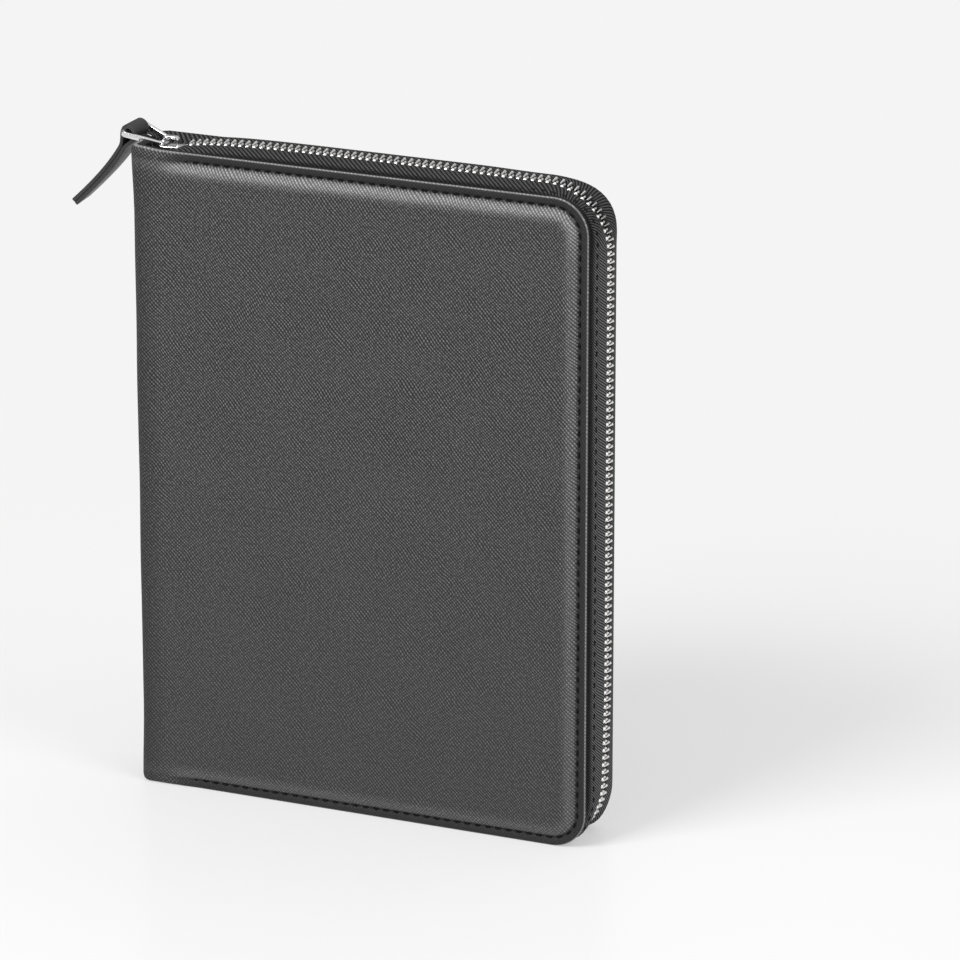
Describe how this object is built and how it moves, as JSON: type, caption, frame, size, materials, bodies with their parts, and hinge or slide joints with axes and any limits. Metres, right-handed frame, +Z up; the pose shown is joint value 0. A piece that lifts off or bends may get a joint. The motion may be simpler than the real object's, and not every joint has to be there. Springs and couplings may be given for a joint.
{
  "type": "zippered padfolio",
  "caption": "Black cross-grain leather zip-around padfolio for an A5 pad, standing shut on its lower edge, with a metal zip on three sides and a leather strap on the slider's ring.",
  "frame": {"origin": "middle of the spine's foot, on the surface that the closed case stands on", "axes": "+X from the spine to the fore edge, +Y from the front cover to the back cover, +Z up"},
  "size_m": [0.2003, 0.0272, 0.2462],
  "materials": {
    "saffiano_leather": "cross-grain embossed, satin",
    "pocket_leather": "smooth, satin",
    "padding": "foam sheet",
    "grey_board": "pressed grey board",
    "lining_cloth": "plain weave",
    "zip_tape": "herringbone weave",
    "zip_teeth": "plated, polished",
    "slider_metal": "polished",
    "paper": "uncoated ruled paper",
    "binding_cloth": "glued cloth strip",
    "elastic": "ribbed elastic"
  },
  "bodies": {
    "back_cover": {"back_cover_leather": "saffiano_leather", "back_cover_padding": "padding", "back_cover_board": "grey_board", "back_cover_lining": "lining_cloth", "back_zip_tape": "zip_tape", "back_teeth_top": "zip_teeth", "back_teeth_round": "zip_teeth", "back_zip_stop": "zip_teeth", "pad_pocket": "pocket_leather", "pad_card": "grey_board", "pad_sheets": "paper", "pad_binding": "binding_cloth", "pen_loop": "elastic"},
    "spine": {"spine_leather": "saffiano_leather", "spine_board": "grey_board", "spine_lining": "lining_cloth", "front_fold": "saffiano_leather", "back_fold": "saffiano_leather", "zip_end_tab": "zip_tape", "zip_foot_stop": "zip_teeth"},
    "front_cover": {"front_cover_leather": "saffiano_leather", "front_cover_padding": "padding", "front_cover_board": "grey_board", "front_cover_lining": "lining_cloth", "front_zip_tape": "zip_tape", "front_teeth_top": "zip_teeth", "front_teeth_round": "zip_teeth", "front_zip_stop": "zip_teeth", "document_pocket": "pocket_leather", "card_slots": "pocket_leather"},
    "slider": {"slider_body": "slider_metal", "slider_bridge": "slider_metal"},
    "pull_ring": {"pull_ring": "slider_metal"},
    "pull_strap": {"pull_strap": "saffiano_leather"}
  },
  "joints": [
    {"name": "cover_fold", "type": "hinge", "parent": "spine", "child": "front_cover", "pos_m": [-0.00064, -0.01274, 0.12], "axis": [0, 0, -1], "range_deg": [0, 90], "deforming": ["front_fold", "pull_strap"]},
    {"name": "spine_fold", "type": "hinge", "parent": "back_cover", "child": "spine", "pos_m": [-0.00064, 0.01274, 0.12], "axis": [0, 0, -1], "range_deg": [0, 90], "deforming": ["back_fold"]},
    {"name": "slider_travel", "type": "slide", "parent": "back_cover", "child": "slider", "axis": [0.9996, 0, 0.0265], "range_m": [0, 0.13], "deforming": ["front_teeth_top", "back_teeth_top"]},
    {"name": "ring_swing", "type": "hinge", "parent": "slider", "child": "pull_ring", "pos_m": [0.00597, 0, 0.24013], "axis": [0, 1, 0], "range_deg": [0, 150]},
    {"name": "strap_swing", "type": "hinge", "parent": "pull_ring", "child": "pull_strap", "pos_m": [-0.00691, 0, 0.24383], "axis": [0, 1, 0], "range_deg": [-30, 110]}
  ],
  "couplings": [
    {"joint": "spine_fold", "follows": "cover_fold", "ratio": 1}
  ]
}
